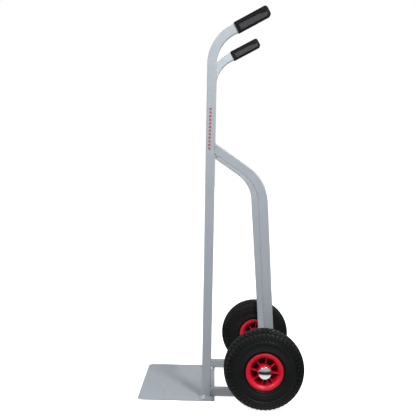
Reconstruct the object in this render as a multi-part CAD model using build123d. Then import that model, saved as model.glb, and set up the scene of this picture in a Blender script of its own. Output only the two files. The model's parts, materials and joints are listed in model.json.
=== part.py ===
from build123d import *
import os
from math import cos, radians, sin, tan

# A two-wheeled hand truck: two leaning side frames of rectangular steel tube,
# a toe plate, one fixed axle and two pneumatic wheels that spin on it.
# Millimetres, +Z up, +X rearwards from the toe plate to the wheels, +Y to the
# user's right. The origin is the middle of the whole truck's box, on the floor.

# ---- driving dimensions ----------------------------------------------------
# frame tube (used for rails, struts, stays and crossbars)
TUBE_DEEP = 30.0        # in the plane of the side frame
TUBE_WIDE = 15.0
TUBE_WALL = 1.5
TUBE_CORNER = 3.0
FRAME_WIDTH = 266.0     # across the side frames' outer faces, at the floor
SPLAY = 2.5             # degrees each side frame leans outwards

# toe plate
PLATE_LENGTH = 258.0
PLATE_THICK = 3.0
PLATE_MARGIN = 22.0     # plate beyond the side frame, on each side
PLATE_FRONT_CORNER = 18.0
PLATE_REAR_CORNER = 6.0
LOAD_DEPTH = 214.0      # plate's front edge to the rails' front face

# rail and handle
HANDLE_CORNER = 1171.0  # up the rail, where rail and handle lines would cross
HANDLE_RISE = 28.7      # degrees above level
HANDLE_BEND = 117.0
GRIP_START = 83.4       # along the handle from that corner
GRIP_LENGTH = 115.4
GRIP_WALL = 3.0
GRIP_SIDE_WALL = 4.0
GRIP_END_WALL = 6.0
GRIP_ROUNDING = 4.0
GRIP_FIT = 0.1

# strut behind the rail
STRUT_TOP = 836.0       # up the rail, where the strut's line meets its rear face
STRUT_SLOPE = 34.2      # degrees below level
STRUT_BEND = 137.0
STRUT_LEAN = 4.17       # degrees from upright below the bend
STRUT_AXLE_GAP = 1.7
DRAIN_HOLE = 5.0        # in the strut's inner face
DRAIN_BACK = 6.0        # behind the rail's rear face
DRAIN_DROP = 8.0        # below the strut's own line

# stay along the floor
STAY_LIFT = 0.4         # above the foot flange
STAY_CHAMFER = 14.0
STAY_OVERHANG = 3.0     # behind the strut
PLUG_FLANGE = 3.0
PLUG_DEPTH = 12.0
PLUG_FIT = 0.1

# crossbars between the rails
CROSSBAR_HEIGHTS = {"lower": 250.0, "middle": 545.0, "upper": 840.0}

# foot flange and its fasteners (M6)
FLANGE_THICK = 4.0
FLANGE_FRONT = 5.0      # ahead of the rail
FLANGE_OVERHANG = 19.0  # beyond the tube on either side
FLANGE_REAR = 1.0       # short of the toe plate's rear edge
FLANGE_CORNER = 5.0
BOLT = 6.0
BOLT_HOLE_FIT = 0.2
BOLT_HEAD = 11.4
BOLT_RECESS = 0.2
BOLT_STICKOUT = 2.0
BOLT_POINT = 1.0
WASHER_OUTER = 16.0
WASHER_THICK = 1.6
NUT_FLATS = 10.0
NUT_HIGH = 5.0
THREAD_FIT = 0.05
BOLT_FROM_TUBE = 9.7    # clear of the tube's side face
BOLT_FRONT = 12.7       # outer bolt, behind the flange's front edge
BOLT_REAR = 10.0        # inner bolt, ahead of the flange's rear edge

# axle and its bracket
AXLE = 20.0
AXLE_BEHIND = 185.7     # behind the rails' centre line
AXLE_CHAMFER = 1.5
AXLE_FIT = 0.1
BRACKET_THICK = 5.0
BRACKET_NOSE = 20.0
BRACKET_HALF_HEIGHT = 36.0
BRACKET_REAR_LAND = 4.0
SPACER_WALL = 4.0
AXLE_WASHER_THICK = 1.5
SIDE_PLAY = 0.5

# wheel: 260 mm pneumatic wheel on a 4 inch moulded rim
WHEEL = 260.0
TYRE_WIDTH = 80.0
TYRE_GAP = 5.65         # tyre to the leaning strut, at the wheel's top
TREAD_THICK = 9.0
SIDEWALL_THICK = 5.5
TREAD_GROOVE = 3.0
TREAD_GROOVE_AT = 12.0  # either side of the tread's middle
TYRE_WIDEST = 0.55      # share of the way from bead seat to tread
SHOULDER_DROP = 7.0
SHOULDER_IN = 6.0
BEAD_TOE = 20.0
BEAD_LIP = 0.6
BEAD_SEAT = 50.8
RIM_FLANGE = 60.0
RIM_HALF_WIDTH = 34.0
RIM_FLANGE_THICK = 3.5
RIM_WELL = 44.0
RIM_WELL_REACH = 13.0   # the well's floor, either side of the middle
RIM_SEAT_REACH = 19.0   # where the bead seats begin
RIM_WALL = 4.0
RIM_FLARE = 4.0         # the dished mouth outside the bead seat
RIM_EASE = 1.0
RIM_FIT = 0.1
WEB_THICK = 5.0
HUB_HALF_LENGTH = 33.0
HUB_WALL = 9.0
RIBS = 8
RIB_THICK = 3.0
RIB_SETBACK = 3.0       # behind the hub's end face
RIB_PHASE = -7.0
BUSH_WALL = 3.0
BUSH_LENGTH = 22.0
BUSH_FLANGE = 2.0
BUSH_FLANGE_WIDE = 4.0
RUNNING_FIT = 0.05
TUBE_SKIN = 1.5
TUBE_SLACK = 1.5
TUBE_SEAT = 4.0         # the inner tube reaches this far inside the rim's flange
VALVE = 8.0
VALVE_NECK = 7.0        # the stem itself, inside its cap
VALVE_BEND = 6.0
VALVE_OFFSET = 12.0     # outboard of the rim's web
VALVE_FROM_HUB = 4.0
VALVE_TIP = 24.0
VALVE_HOLE_FIT = 0.3
VALVE_CAP = 11.0
VALVE_CAP_LENGTH = 14.0
VALVE_CAP_ENGAGED = 5.5
VALVE_CAP_ROUNDING = 1.5

# push-on axle cap
CAP_OUTER = 40.0
CAP_SKIN = 1.2
CAP_HIGH = 8.5
CAP_RIM = 3.0
CAP_AXLE_STICKOUT = 5.0

# ---- places worked out from them ------------------------------------------
overall_depth = LOAD_DEPTH + TUBE_DEEP / 2 + AXLE_BEHIND + WHEEL / 2
plate_front = -overall_depth / 2
plate_rear = plate_front + PLATE_LENGTH
rail_front = plate_front + LOAD_DEPTH
rail_middle = rail_front + TUBE_DEEP / 2
rail_rear = rail_front + TUBE_DEEP
axle_x = rail_middle + AXLE_BEHIND
axle_z = WHEEL / 2
flange_top = PLATE_THICK + FLANGE_THICK
stay_bottom = flange_top + STAY_LIFT
stay_top = stay_bottom + TUBE_DEEP
lean_run = tan(radians(STRUT_LEAN))
strut_at_axle = axle_x + AXLE / 2 + STRUT_AXLE_GAP + TUBE_DEEP / 2 / cos(radians(STRUT_LEAN))
half_track = FRAME_WIDTH / 2 + WHEEL * tan(radians(SPLAY)) + TYRE_GAP + TYRE_WIDTH / 2
hub_radius = AXLE / 2 + BUSH_WALL + HUB_WALL
hub_bore = AXLE / 2 + BUSH_WALL + RIM_FIT / 2
hub_reach = HUB_HALF_LENGTH + BUSH_FLANGE
washer_outer_face = half_track + hub_reach + SIDE_PLAY + AXLE_WASHER_THICK
spacer_outer_face = half_track - hub_reach - SIDE_PLAY


def strut_x(height):
    """The lower strut's centre line at a height up the side frame."""
    return strut_at_axle + lean_run * (axle_z - height)


# ---- helpers --------------------------------------------------------------
def tube_along(path):
    """The rectangular frame tube swept along a path in the XZ plane."""
    start = Plane(origin=path @ 0, x_dir=(0, 1, 0), z_dir=path % 0)
    outer = start * RectangleRounded(TUBE_WIDE, TUBE_DEEP, TUBE_CORNER)
    inner = start * RectangleRounded(
        TUBE_WIDE - 2 * TUBE_WALL, TUBE_DEEP - 2 * TUBE_WALL, TUBE_CORNER - TUBE_WALL
    )
    tube = sweep(outer, path=path) - sweep(inner, path=path)
    return Pos(0, -TUBE_WIDE / 2, 0) * tube


def right_frame_place():
    """The right side frame's own plane: outer face at y = 0, leaning outwards."""
    return Pos(0, FRAME_WIDTH / 2, 0) * Rot(-SPLAY, 0, 0)


def cylinder_along_y(radius, low, high):
    """A round bar on the Y axis between two stations."""
    bar = Cylinder(radius, high - low, align=(Align.CENTER, Align.CENTER, Align.MIN))
    return Pos(0, low, 0) * Rot(-90, 0, 0) * bar


def ring_along_y(outer, inner, low, high):
    """A washer or sleeve on the Y axis between two stations."""
    return cylinder_along_y(outer, low, high) - cylinder_along_y(inner, low - 1, high + 1)


def turned(points):
    """A solid turned about the Y axis from (radius, station) points."""
    return revolve(make_face(Polyline(*points, close=True)), Axis.Y)


# ---- frame ----------------------------------------------------------------
def rail():
    """Upright rail whose top bends back into the handle, in the frame's plane."""
    handle_length = GRIP_START + GRIP_LENGTH - GRIP_END_WALL
    rise = radians(HANDLE_RISE)
    tip = (
        rail_middle + handle_length * cos(rise),
        0,
        HANDLE_CORNER + handle_length * sin(rise),
    )
    path = FilletPolyline(
        (rail_middle, 0, 0), (rail_middle, 0, HANDLE_CORNER), tip, radius=HANDLE_BEND
    )
    leaning = right_frame_place() * tube_along(path)
    return split(leaning, bisect_by=Plane.XY.offset(flange_top), keep=Keep.TOP)


def grip():
    """Moulded sleeve with a closed end, pushed over the end of the handle."""
    tall = TUBE_DEEP + 2 * GRIP_WALL
    wide = TUBE_WIDE + 2 * GRIP_SIDE_WALL
    bottom = (Align.CENTER, Align.CENTER, Align.MIN)
    sleeve = Box(tall, wide, GRIP_LENGTH, align=bottom)
    sleeve = fillet(sleeve.edges(), GRIP_ROUNDING)
    socket = extrude(
        RectangleRounded(TUBE_DEEP + 2 * GRIP_FIT, TUBE_WIDE + 2 * GRIP_FIT, TUBE_CORNER),
        GRIP_LENGTH - GRIP_END_WALL + GRIP_FIT,
    )
    along = Pos(rail_middle, -TUBE_WIDE / 2, HANDLE_CORNER) * Rot(0, 90 - HANDLE_RISE, 0)
    return right_frame_place() * along * Pos(0, 0, GRIP_START) * (sleeve - socket)


def strut():
    """Bent tube from the rail's rear face, over the wheel, down to the stay."""
    slope = radians(STRUT_SLOPE)
    # where the sloping line from the rail meets the leaning line above the stay
    foot = strut_x(0)
    corner_x = (STRUT_TOP + rail_rear * tan(slope) - foot / lean_run) / (tan(slope) - 1 / lean_run)
    corner_z = STRUT_TOP - (corner_x - rail_rear) * tan(slope)
    behind = rail_rear - TUBE_DEEP
    path = FilletPolyline(
        (behind, 0, STRUT_TOP + TUBE_DEEP * tan(slope)),
        (corner_x, 0, corner_z),
        (foot, 0, 0),
        radius=STRUT_BEND,
    )
    tube = split(tube_along(path), bisect_by=Plane.YZ.offset(rail_rear), keep=Keep.TOP)
    tube = split(tube, bisect_by=Plane.XY.offset(stay_top), keep=Keep.TOP)
    drain = cylinder_along_y(DRAIN_HOLE / 2, -TUBE_WIDE - TUBE_WALL, 2 * TUBE_WALL - TUBE_WIDE)
    drain_z = STRUT_TOP - DRAIN_BACK * tan(slope) - DRAIN_DROP
    tube -= Pos(rail_rear + DRAIN_BACK, 0, drain_z) * drain
    return right_frame_place() * tube


def stay_rear():
    """Where the stay ends, just behind the strut."""
    return strut_x(stay_top) + TUBE_DEEP / 2 / cos(radians(STRUT_LEAN)) + STAY_OVERHANG


def stay():
    """Level tube from the rail's foot to the strut's foot, its front corner cut."""
    middle = stay_bottom + TUBE_DEEP / 2
    path = Line((rail_rear, 0, middle), (stay_rear(), 0, middle))
    tube = tube_along(path)
    cut = make_face(
        Polyline(
            (rail_rear, stay_bottom),
            (rail_rear + STAY_CHAMFER, stay_bottom),
            (rail_rear, stay_bottom + STAY_CHAMFER),
            close=True,
        )
    )
    tube -= extrude(Plane.XZ * cut, TUBE_WIDE, both=True)
    return right_frame_place() * tube


def stay_plug():
    """Plastic plug that closes the stay's rear end."""
    inside_wide = TUBE_WIDE - 2 * (TUBE_WALL + PLUG_FIT)
    inside_deep = TUBE_DEEP - 2 * (TUBE_WALL + PLUG_FIT)
    flange = extrude(RectangleRounded(TUBE_WIDE, TUBE_DEEP, TUBE_CORNER), PLUG_FLANGE)
    flange = fillet(flange.faces().sort_by(Axis.Z)[-1].edges(), PLUG_FLANGE / 3)
    body = extrude(
        RectangleRounded(inside_wide, inside_deep, TUBE_CORNER - TUBE_WALL), -PLUG_DEPTH
    )
    place = Plane(
        origin=(stay_rear(), -TUBE_WIDE / 2, stay_bottom + TUBE_DEEP / 2),
        x_dir=(0, 1, 0),
        z_dir=(1, 0, 0),
    )
    return right_frame_place() * (place * (flange + body))


def crossbar(height):
    """Level tube between the rails, flush with their front faces."""
    section = Plane.XZ * (
        RectangleRounded(TUBE_WIDE, TUBE_DEEP, TUBE_CORNER)
        - RectangleRounded(
            TUBE_WIDE - 2 * TUBE_WALL, TUBE_DEEP - 2 * TUBE_WALL, TUBE_CORNER - TUBE_WALL
        )
    )
    bar = Pos(rail_front + TUBE_WIDE / 2, 0, height) * extrude(section, FRAME_WIDTH, both=True)
    for side in (1, -1):
        face = Plane(
            origin=(
                0,
                side * (FRAME_WIDTH / 2 - TUBE_WIDE * cos(radians(SPLAY))),
                TUBE_WIDE * sin(radians(SPLAY)),
            ),
            z_dir=(0, side * cos(radians(SPLAY)), -sin(radians(SPLAY))),
        )
        bar = split(bar, bisect_by=face, keep=Keep.BOTTOM)
    return bar


# ---- toe plate and the feet bolted to it ----------------------------------
flange_front_x = rail_front - FLANGE_FRONT
flange_rear_x = plate_rear - FLANGE_REAR
tube_outer_y = FRAME_WIDTH / 2
tube_inner_y = FRAME_WIDTH / 2 - TUBE_WIDE
bolt_places = [
    (flange_front_x + BOLT_FRONT, tube_outer_y + BOLT_FROM_TUBE),
    (flange_rear_x - BOLT_REAR, tube_inner_y - BOLT_FROM_TUBE),
]
both_bolt_places = [(x, side * y) for side in (1, -1) for x, y in bolt_places]


def rounded_slab(x0, x1, y0, y1, front_corner, rear_corner, thick):
    """A flat plate on z = 0 with its four upright corners rounded."""
    slab = Pos((x0 + x1) / 2, (y0 + y1) / 2, thick / 2) * Box(x1 - x0, y1 - y0, thick)
    upright = slab.edges().filter_by(Axis.Z).sort_by(Axis.X)
    slab = fillet(upright[:2], front_corner)
    upright = slab.edges().filter_by(Axis.Z).sort_by(Axis.X)
    return fillet(upright[-2:], rear_corner)


def bolt_hole():
    """Clearance hole through plate and flange, countersunk from underneath."""
    radius = BOLT / 2 + BOLT_HOLE_FIT
    mouth = BOLT_HEAD / 2 + BOLT_HOLE_FIT / 2 + BOLT_RECESS
    hole = Cylinder(radius, 4 * flange_top)
    up = (Align.CENTER, Align.CENTER, Align.MIN)
    return hole + Cone(mouth, radius, mouth - radius, align=up)


def toe_plate():
    half = FRAME_WIDTH / 2 + PLATE_MARGIN
    plate = rounded_slab(
        plate_front, plate_rear, -half, half, PLATE_FRONT_CORNER, PLATE_REAR_CORNER, PLATE_THICK
    )
    for x, y in both_bolt_places:
        plate -= Pos(x, y, 0) * bolt_hole()
    return plate


def foot_flange():
    """Flat foot under the right rail, lying on the toe plate."""
    flange = Pos(0, 0, PLATE_THICK) * rounded_slab(
        flange_front_x,
        flange_rear_x,
        tube_inner_y - FLANGE_OVERHANG,
        tube_outer_y + FLANGE_OVERHANG,
        FLANGE_CORNER,
        FLANGE_CORNER,
        FLANGE_THICK,
    )
    for x, y in bolt_places:
        flange -= Pos(x, y, 0) * Cylinder(BOLT / 2 + BOLT_HOLE_FIT, 4 * flange_top)
    return flange


def foot_bolt():
    """Countersunk bolt, pushed up through the toe plate from underneath."""
    top = flange_top + WASHER_THICK + NUT_HIGH + BOLT_STICKOUT
    head = BOLT_HEAD / 2
    shank = BOLT / 2
    return Rot(90, 0, 0) * turned(
        [
            (0, BOLT_RECESS),
            (head, BOLT_RECESS),
            (shank, BOLT_RECESS + head - shank),
            (shank, top - BOLT_POINT),
            (shank - BOLT_POINT, top),
            (0, top),
        ]
    )


def foot_washer():
    up = (Align.CENTER, Align.CENTER, Align.MIN)
    ring = Cylinder(WASHER_OUTER / 2, WASHER_THICK, align=up)
    return Pos(0, 0, flange_top) * (ring - Cylinder(BOLT / 2 + BOLT_HOLE_FIT, 3 * WASHER_THICK))


def foot_nut():
    """Hexagon nut whose upper corners are turned off at 45 degrees."""
    flat = NUT_FLATS / 2
    up = (Align.CENTER, Align.CENTER, Align.MIN)
    body = extrude(RegularPolygon(flat, 6, major_radius=False), NUT_HIGH)
    body &= Cone(flat + NUT_HIGH, flat, NUT_HIGH, align=up)
    body -= Cylinder(BOLT / 2 + THREAD_FIT, 3 * NUT_HIGH)
    return Pos(0, 0, flange_top + WASHER_THICK) * body


# ---- axle -----------------------------------------------------------------
def bracket():
    """Plate welded to the strut's outer face; the axle passes through its nose."""
    low = axle_z - BRACKET_HALF_HEIGHT
    high = axle_z + BRACKET_HALF_HEIGHT
    reach = TUBE_DEEP / 2 - BRACKET_REAR_LAND
    nose = Pos(axle_x, axle_z) * Circle(BRACKET_NOSE)
    land = make_face(
        Polyline(
            (strut_x(low) - reach, low),
            (strut_x(low) + reach, low),
            (strut_x(high) + reach, high),
            (strut_x(high) - reach, high),
            close=True,
        )
    )
    outline = make_hull(nose.edges() + land.edges())
    plate = extrude(Plane.XZ * outline, -BRACKET_THICK)
    hole = Pos(axle_x, 0, axle_z) * cylinder_along_y(AXLE / 2 + AXLE_FIT, 0, 2 * FRAME_WIDTH)
    return right_frame_place() * plate - hole


def bracket_outer_y():
    """The leaning bracket's outermost station over the spacer's end face."""
    top = axle_z + AXLE / 2 + SPACER_WALL
    return FRAME_WIDTH / 2 + BRACKET_THICK / cos(radians(SPLAY)) + top * tan(radians(SPLAY))


def axle():
    end = washer_outer_face + CAP_AXLE_STICKOUT
    bar = cylinder_along_y(AXLE / 2, -end, end)
    bar = chamfer(bar.edges().filter_by(GeomType.CIRCLE), AXLE_CHAMFER)
    return Pos(axle_x, 0, axle_z) * bar


def spacer():
    """Sleeve that holds the right wheel off its bracket."""
    sleeve = ring_along_y(
        AXLE / 2 + SPACER_WALL,
        AXLE / 2 + AXLE_FIT,
        bracket_outer_y() + AXLE_FIT,
        spacer_outer_face,
    )
    return Pos(axle_x, 0, axle_z) * sleeve


def axle_washer():
    ring = ring_along_y(
        AXLE / 2 + BUSH_WALL + BUSH_FLANGE_WIDE,
        AXLE / 2 + AXLE_FIT,
        washer_outer_face - AXLE_WASHER_THICK,
        washer_outer_face,
    )
    return Pos(axle_x, 0, axle_z) * ring


def dome(radius, low, rim, high):
    """A solid button on the Y axis: a short rim under a part of a ball."""
    rise = high - rim
    ball = (radius**2 + rise**2) / (2 * rise)
    block = Pos(0, low + high - ball, 0) * Sphere(ball)
    return block & cylinder_along_y(radius, low, low + high)


def axle_cap():
    """Domed push-on cap: a gripping ring inside a thin dome."""
    radius = CAP_OUTER / 2
    base = washer_outer_face
    outside = dome(radius, base, CAP_RIM, CAP_HIGH)
    outside = fillet(outside.edges().sort_by(Axis.Y)[-1], CAP_RIM / 2)
    inside = dome(radius - CAP_SKIN, base + CAP_SKIN, CAP_RIM - CAP_SKIN, CAP_HIGH - 2 * CAP_SKIN)
    cap = outside - inside
    cap -= cylinder_along_y(AXLE / 2 + AXLE_FIT, base - 1, base + 2 * CAP_SKIN)
    return Pos(axle_x, 0, axle_z) * cap


# ---- wheel, about the Y axis with its outboard side towards +Y --------------
wheel_radius = WHEEL / 2
half_tyre = TYRE_WIDTH / 2
rim_inside = RIM_HALF_WIDTH - RIM_FLANGE_THICK


def at_angle(angle):
    """Turns a piece about the wheel's axis, from +X towards +Z."""
    return Rot(0, -angle, 0)


def rib():
    """One radial rib from the hub boss into the wall of the barrel."""
    at_hub = HUB_HALF_LENGTH - RIB_SETBACK
    at_rim = rim_inside - RIM_EASE
    start = hub_radius - RIM_EASE
    end = BEAD_SEAT - RIM_WALL / 2
    outline = Polyline((start, -at_hub), (end, -at_rim), (end, at_rim), (start, at_hub), close=True)
    plate = extrude(make_face(outline), RIB_THICK / 2, both=True)
    # it stays inside the barrel's middle surface, from mouth to mouth
    well = RIM_WELL - RIM_EASE
    seat = BEAD_SEAT - RIM_WALL / 2
    middle = [
        (0, -RIM_HALF_WIDTH),
        (seat, -RIM_HALF_WIDTH),
        (seat, -RIM_SEAT_REACH),
        (well, -RIM_WELL_REACH),
        (well, RIM_WELL_REACH),
        (seat, RIM_SEAT_REACH),
        (seat, RIM_HALF_WIDTH),
        (0, RIM_HALF_WIDTH),
    ]
    return plate & turned(middle)


def rim():
    """Moulded rim: drop-centre barrel, thin web, hub boss and radial ribs."""
    inside = BEAD_SEAT - RIM_WALL
    half = [
        (RIM_WELL - RIM_WALL, 0),
        (RIM_WELL, 0),
        (RIM_WELL, RIM_WELL_REACH),
        (BEAD_SEAT - RIM_EASE, RIM_SEAT_REACH),
        (BEAD_SEAT, rim_inside),
        (RIM_FLANGE, rim_inside),
        (RIM_FLANGE, RIM_HALF_WIDTH - RIM_EASE),
        (RIM_FLANGE - RIM_EASE, RIM_HALF_WIDTH),
        (BEAD_SEAT + RIM_FLARE, RIM_HALF_WIDTH),
        (inside, rim_inside - RIM_WALL + RIM_EASE),
        (inside - 2 * RIM_EASE, RIM_SEAT_REACH),
        (RIM_WELL - RIM_WALL, RIM_WELL_REACH - RIM_EASE),
    ]
    body = turned(half) + turned([(r, -y) for r, y in half])
    body += ring_along_y(RIM_WELL - RIM_EASE, hub_bore, -WEB_THICK / 2, WEB_THICK / 2)
    body += ring_along_y(hub_radius, hub_bore, -HUB_HALF_LENGTH, HUB_HALF_LENGTH)
    for k in range(RIBS):
        body += at_angle(RIB_PHASE + 360 / RIBS * k) * rib()
    hole = Pos(0, VALVE_OFFSET, 0) * Rot(0, 90, 0) * Cylinder(
        VALVE / 2 + VALVE_HOLE_FIT,
        BEAD_SEAT,
        align=(Align.CENTER, Align.CENTER, Align.MIN),
    )
    hole = Pos(hub_radius + RIM_EASE, 0, 0) * hole
    return body - at_angle(valve_angle) * hole


valve_angle = RIB_PHASE - 360 / RIBS * 1.5
valve_radius = hub_radius + VALVE_FROM_HUB + VALVE / 2


def tyre():
    """Tyre carcass with two grooves round its tread."""
    bead = BEAD_SEAT + RIM_FIT
    heel = rim_inside - RIM_FIT
    lip = RIM_FLANGE + BEAD_LIP
    widest = BEAD_SEAT + (wheel_radius - BEAD_SEAT) * TYRE_WIDEST
    shoulder = wheel_radius - SHOULDER_DROP
    shoulder_y = half_tyre - SHOULDER_IN
    inner_widest = half_tyre - SIDEWALL_THICK
    crown_in = wheel_radius - TREAD_THICK

    def half_section(side):
        toe = (bead, side * BEAD_TOE)
        foot = (lip, side * heel)
        bulge = (widest, side * half_tyre)
        edge = (shoulder, side * shoulder_y)
        inner_bulge = (widest, side * inner_widest)
        outer = (
            Polyline(toe, (bead, side * heel), foot)
            + TangentArc(bulge, foot, tangent=(-1, 0))
            + TangentArc(bulge, edge, tangent=(1, 0))
            + TangentArc((wheel_radius, 0), edge, tangent=(0, side))
        )
        inner = (
            Line((wheel_radius, 0), (crown_in, 0))
            + TangentArc((crown_in, 0), inner_bulge, tangent=(0, side))
            + TangentArc(inner_bulge, toe, tangent=(-1, 0))
        )
        return revolve(make_face(outer + inner), Axis.Y)

    body = half_section(1) + half_section(-1)
    for side in (1, -1):
        station = side * TREAD_GROOVE_AT
        body -= ring_along_y(
            wheel_radius + TREAD_GROOVE,
            wheel_radius - TREAD_GROOVE,
            station - TREAD_GROOVE / 2,
            station + TREAD_GROOVE / 2,
        )
    return body


def inner_tube_section():
    """Centre radius and the two half axes of the inflated inner tube."""
    inner = RIM_FLANGE - TUBE_SEAT
    outer = wheel_radius - TREAD_THICK - TUBE_SLACK
    return (inner + outer) / 2, (outer - inner) / 2, half_tyre - SIDEWALL_THICK - 2 * TUBE_SLACK


def inner_tube():
    middle, high, wide = inner_tube_section()
    ring = Ellipse(high, wide) - Ellipse(high - TUBE_SKIN, wide - TUBE_SKIN)
    return revolve(Pos(middle, 0) * ring, Axis.Y)


def valve():
    """Bent valve stem, in through the rim and out towards the user."""
    middle, high, wide = inner_tube_section()
    path = FilletPolyline(
        (middle, VALVE_OFFSET, 0),
        (valve_radius, VALVE_OFFSET, 0),
        (valve_radius, VALVE_TIP, 0),
        radius=VALVE_BEND,
    )
    stem = sweep(Plane(origin=path @ 0, z_dir=path % 0) * Circle(VALVE_NECK / 2), path=path)
    stem -= revolve(Pos(middle, 0) * Ellipse(high, wide), Axis.Y)
    return at_angle(valve_angle) * stem


def valve_cap():
    low = VALVE_TIP - VALVE_CAP_ENGAGED
    cap = cylinder_along_y(VALVE_CAP / 2, low, low + VALVE_CAP_LENGTH)
    cap = fillet(cap.edges().sort_by(Axis.Y)[-1], VALVE_CAP_ROUNDING)
    cap -= cylinder_along_y(VALVE_NECK / 2 + THREAD_FIT, low - 1, VALVE_TIP + THREAD_FIT)
    return at_angle(valve_angle) * Pos(valve_radius, 0, 0) * cap


def bush(side):
    """Flanged plain bush pressed into one end of the hub."""
    bore = AXLE / 2 + RUNNING_FIT
    outer = AXLE / 2 + BUSH_WALL
    flange = outer + BUSH_FLANGE_WIDE
    points = [
        (bore, HUB_HALF_LENGTH - BUSH_LENGTH),
        (outer, HUB_HALF_LENGTH - BUSH_LENGTH),
        (outer, HUB_HALF_LENGTH),
        (flange, HUB_HALF_LENGTH),
        (flange, HUB_HALF_LENGTH + BUSH_FLANGE),
        (bore, HUB_HALF_LENGTH + BUSH_FLANGE),
    ]
    return turned([(r, side * y) for r, y in points])


# ---- every node -------------------------------------------------------------
def left_of(piece):
    """The left-hand copy of a right-hand piece."""
    return mirror(piece, about=Plane.XZ)


nodes = {"toe_plate": toe_plate(), "axle": axle()}
for place, height in CROSSBAR_HEIGHTS.items():
    nodes["crossbar_" + place] = crossbar(height)

right_pieces = {
    "rail": rail(),
    "grip": grip(),
    "strut": strut(),
    "stay": stay(),
    "stay_plug": stay_plug(),
    "foot_flange": foot_flange(),
    "axle_bracket": bracket(),
    "axle_spacer": spacer(),
    "axle_washer": axle_washer(),
    "axle_cap": axle_cap(),
}
wheel_pieces = {
    "tyre": tyre(),
    "inner_tube": inner_tube(),
    "rim": rim(),
    "valve": valve(),
    "valve_cap": valve_cap(),
    "outer_bush": bush(1),
    "inner_bush": bush(-1),
}
wheel_place = Pos(axle_x, half_track, axle_z)
for name, piece in wheel_pieces.items():
    right_pieces[name] = wheel_place * piece
for name, piece in right_pieces.items():
    nodes[name + "_right"] = piece
    nodes[name + "_left"] = left_of(piece)

for name, piece in (("bolts", foot_bolt()), ("washers", foot_washer()), ("nuts", foot_nut())):
    nodes["foot_" + name] = Compound(children=[Pos(x, y, 0) * piece for x, y in both_bolt_places])

os.makedirs("parts", exist_ok=True)
for name, piece in nodes.items():
    export_step(piece, os.path.join("parts", name + ".step"))
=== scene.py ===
"""The hand truck's looks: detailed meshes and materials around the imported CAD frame."""
import json
import math
from collections import namedtuple

import bmesh
import bpy
import numpy as np
from mathutils import Matrix, Vector

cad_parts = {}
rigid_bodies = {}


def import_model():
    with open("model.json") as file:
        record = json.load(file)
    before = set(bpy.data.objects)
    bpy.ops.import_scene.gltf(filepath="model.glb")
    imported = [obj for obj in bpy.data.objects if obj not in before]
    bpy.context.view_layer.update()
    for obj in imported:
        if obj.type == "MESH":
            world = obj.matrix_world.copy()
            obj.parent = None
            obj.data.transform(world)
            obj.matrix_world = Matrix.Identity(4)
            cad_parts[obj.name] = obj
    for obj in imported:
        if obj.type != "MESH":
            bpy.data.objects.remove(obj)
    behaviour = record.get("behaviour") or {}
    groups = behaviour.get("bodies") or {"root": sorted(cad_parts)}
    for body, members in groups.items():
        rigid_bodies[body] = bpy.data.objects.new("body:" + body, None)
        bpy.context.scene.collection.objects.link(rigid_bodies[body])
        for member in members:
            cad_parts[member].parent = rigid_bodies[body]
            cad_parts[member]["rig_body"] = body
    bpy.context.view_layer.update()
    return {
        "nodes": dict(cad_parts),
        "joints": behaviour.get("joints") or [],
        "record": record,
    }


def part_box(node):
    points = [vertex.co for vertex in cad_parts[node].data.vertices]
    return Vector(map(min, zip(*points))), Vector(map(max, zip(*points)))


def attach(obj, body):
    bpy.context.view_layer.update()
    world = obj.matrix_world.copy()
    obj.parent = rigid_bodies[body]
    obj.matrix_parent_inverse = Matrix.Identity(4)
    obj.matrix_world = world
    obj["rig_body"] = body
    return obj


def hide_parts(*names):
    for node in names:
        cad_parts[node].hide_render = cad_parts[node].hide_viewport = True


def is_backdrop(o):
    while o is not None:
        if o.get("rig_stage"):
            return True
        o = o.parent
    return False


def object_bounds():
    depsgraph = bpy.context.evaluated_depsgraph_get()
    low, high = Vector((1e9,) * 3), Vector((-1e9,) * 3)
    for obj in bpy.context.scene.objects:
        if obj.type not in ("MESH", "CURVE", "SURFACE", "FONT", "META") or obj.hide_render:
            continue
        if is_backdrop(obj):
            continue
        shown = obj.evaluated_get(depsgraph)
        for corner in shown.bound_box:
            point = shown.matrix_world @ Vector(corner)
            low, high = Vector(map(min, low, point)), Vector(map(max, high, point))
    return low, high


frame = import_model()

# ---- places read from the frame, in metres ---------------------------------------
JOINTS = {joint["name"]: joint for joint in frame["joints"]}
AXLE_X, HALF_TRACK, AXLE_Z = JOINTS["wheel_right_spin"]["pos_m"]
SIDES = {"left": -1, "right": 1}
MM = 0.001

# ---- camera, lights and room, in metres ------------------------------------------
LENS, SENSOR_WIDTH = 42.35, 36.0    # millimetres
VIEW_DEPTH = 60.0
CAMERA_PLACE = (-0.02667, -1.74043, 0.74038)
CAMERA_RIGHT = (0.999722, 0.014535, 0.018585)
CAMERA_UP = (-0.019429, 0.060275, 0.997992)

WHITE = (1, 1, 1)
# name, place, aim, size, watts, colour
LIGHTS = (
    ("key", (1.0, -1.7, 2.2), (0, 0, 1.25), (0.5, 0.5), 43, (0.93, 0.975, 1.0)),
    ("fill", (-1.3, -1.8, 2.3), (0, 0, 1.4), (0.9, 0.9), 19, (0.96, 0.985, 1.0)),
    ("top", (0.35, -0.45, 2.3), (0.1, 0.1, 0.8), (0.5, 0.4), 7, WHITE),
    ("low", (-1.5, -0.30, 0.25), (0.0, 0.05, 1.0), (0.9, 0.5), 8, (1.0, 0.985, 0.985)),
    ("back", (0.9, 2.4, 1.8), (0, 0, 0.9), (1.4, 1.2), 5, WHITE),
)

# the room's light from straight down (0) past level (0.5) to straight up (1)
ROOM_DOWN = (1.10, 1.10, 1.11)
ROOM_UP = (0.24, 0.25, 0.26)
ROOM_BANDS = ((0.19, 0.92), (0.27, 0.03), (0.43, 0.03), (0.54, 0.46), (0.74, 0.60))
ROOM_TINT = (1, 1.01, 1.03)

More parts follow.
